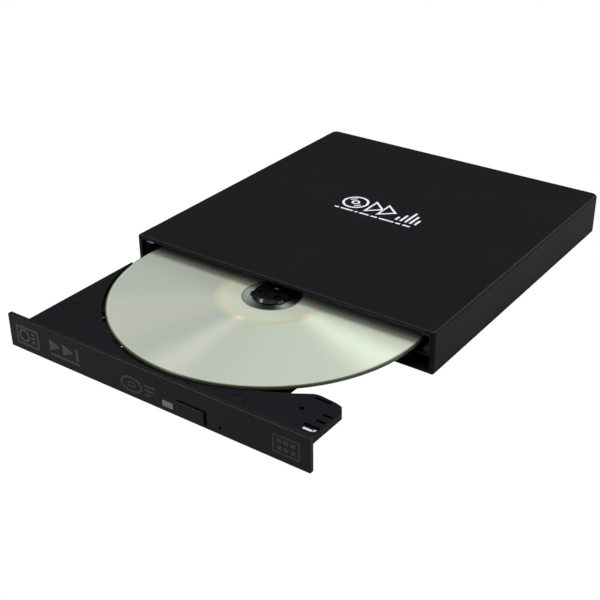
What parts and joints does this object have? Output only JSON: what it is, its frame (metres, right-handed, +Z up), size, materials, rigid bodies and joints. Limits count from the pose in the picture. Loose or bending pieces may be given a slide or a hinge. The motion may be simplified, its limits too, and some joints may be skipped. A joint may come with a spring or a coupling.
{
  "type": "external optical drive",
  "caption": "Slim external optical drive in a flat black case on rubber feet, its disc tray slid out with a disc on the hub; tray, latch, spindle, sled and button move.",
  "frame": {"origin": "on the desk, under the middle of the whole footprint as it stands with its tray out", "axes": "+X to the right seen from the front (the bezel side), +Y to the back, +Z up"},
  "size_m": [0.1324, 0.2069, 0.0176],
  "materials": {
    "shell_plastic": "soft-touch matt",
    "foot_rubber": "matt",
    "screw_steel": "zinc",
    "sheet_steel": "galvanised",
    "guide_plastic": "moulded",
    "circuit_board": "solder mask",
    "chip_plastic": "moulded",
    "connector_plastic": "moulded",
    "contact_gold": "plated",
    "tray_plastic": "fine texture",
    "bezel_plastic": "satin",
    "light_window": "frosted",
    "led_body": "clear",
    "solenoid_metal": "stamped",
    "cast_frame": "die cast",
    "damper_rubber": "matt",
    "ground_steel": "ground",
    "stator_iron": "laminated",
    "rotor_metal": "dark anodised",
    "hub_plastic": "moulded",
    "disc_plastic": "mirror-backed polycarbonate",
    "actuator_plastic": "moulded",
    "lens_glass": "coated"
  },
  "bodies": {
    "case": {"case_top": "shell_plastic", "case_bottom": "shell_plastic", "foot_front_left": "foot_rubber", "foot_front_right": "foot_rubber", "foot_rear_left": "foot_rubber", "foot_rear_right": "foot_rubber", "case_screws": "screw_steel", "drive_screws": "screw_steel", "chassis_pan": "sheet_steel", "chassis_cover": "sheet_steel", "cover_screws": "screw_steel", "left_guide": "guide_plastic", "centre_guide": "guide_plastic", "right_guide": "sheet_steel", "latch_post": "screw_steel", "main_board": "circuit_board", "main_chips": "chip_plastic", "flex_connector": "connector_plastic", "board_screws": "screw_steel", "drive_connector": "connector_plastic", "bridge_board": "circuit_board", "bridge_chips": "chip_plastic", "bridge_receptacle": "connector_plastic", "usb_shell": "sheet_steel", "usb_tongue": "connector_plastic", "usb_contacts": "contact_gold"},
    "tray": {"tray": "tray_plastic", "bezel": "bezel_plastic", "led_lens": "light_window", "tray_board": "circuit_board", "eject_switch": "chip_plastic", "activity_led": "led_body", "tray_board_screws": "screw_steel", "tray_shield": "sheet_steel", "shield_screws": "screw_steel", "latch_pin": "screw_steel", "latch_solenoid": "solenoid_metal", "traverse_frame": "cast_frame", "traverse_dampers": "damper_rubber", "traverse_screws": "screw_steel", "guide_rods": "ground_steel", "sled_motor": "solenoid_metal", "spindle_base": "sheet_steel", "spindle_stator": "stator_iron"},
    "rail": {"left_rail": "sheet_steel"},
    "button": {"eject_button": "bezel_plastic"},
    "latch": {"tray_latch": "guide_plastic"},
    "spindle": {"spindle_shaft": "ground_steel", "spindle_rotor": "rotor_metal", "disc_pad": "damper_rubber", "hub_cap": "hub_plastic", "optical_disc": "disc_plastic"},
    "claw_1": {"chuck_claw_1": "hub_plastic"},
    "claw_2": {"chuck_claw_2": "hub_plastic"},
    "claw_3": {"chuck_claw_3": "hub_plastic"},
    "pickup": {"pickup_body": "cast_frame", "rack_follower": "guide_plastic"},
    "lens": {"lens_actuator": "actuator_plastic", "objective_lens": "lens_glass"},
    "sled_screw": {"lead_screw": "ground_steel"}
  },
  "joints": [
    {"name": "tray_slide", "type": "slide", "parent": "case", "child": "tray", "axis": [0, -1, 0], "range_m": [-0.0686, 0.02]},
    {"name": "left_rail_slide", "type": "slide", "parent": "case", "child": "rail", "axis": [0, -1, 0], "range_m": [-0.0343, 0.01]},
    {"name": "eject_press", "type": "slide", "parent": "tray", "child": "button", "axis": [0, 1, 0], "range_m": [0, 0.0006], "stiffness_N_per_m": 400},
    {"name": "latch_swing", "type": "hinge", "parent": "tray", "child": "latch", "pos_m": [0.034, -0.0816, 0.0051], "axis": [0, 0, 1], "range_deg": [0, 24]},
    {"name": "spindle_spin", "type": "hinge", "parent": "tray", "child": "spindle", "pos_m": [-0.001, -0.0341, 0.008], "axis": [0, 0, 1], "continuous": true},
    {"name": "pickup_slide", "type": "slide", "parent": "tray", "child": "pickup", "axis": [-0.5736, -0.8192, 0], "range_m": [0, 0.03]},
    {"name": "lead_screw_spin", "type": "hinge", "parent": "tray", "child": "sled_screw", "pos_m": [-0.03918, -0.0562, 0.00595], "axis": [-0.5736, -0.8192, 0], "range_deg": [0, 3600]},
    {"name": "lens_focus", "type": "slide", "parent": "pickup", "child": "lens", "axis": [0, 0, 1], "range_m": [-0.0003, 0.0003], "stiffness_N_per_m": 50},
    {"name": "claw_1_press", "type": "slide", "parent": "spindle", "child": "claw_1", "axis": [0, -1, 0], "range_m": [0, 0.0007], "stiffness_N_per_m": 200},
    {"name": "claw_2_press", "type": "slide", "parent": "spindle", "child": "claw_2", "axis": [0.866, 0.5, 0], "range_m": [0, 0.0007], "stiffness_N_per_m": 200},
    {"name": "claw_3_press", "type": "slide", "parent": "spindle", "child": "claw_3", "axis": [-0.866, 0.5, 0], "range_m": [0, 0.0007], "stiffness_N_per_m": 200}
  ],
  "couplings": [
    {"joint": "left_rail_slide", "follows": "tray_slide", "ratio": 0.5},
    {"joint": "lead_screw_spin", "follows": "pickup_slide", "rad_per_m": 2094.4}
  ]
}
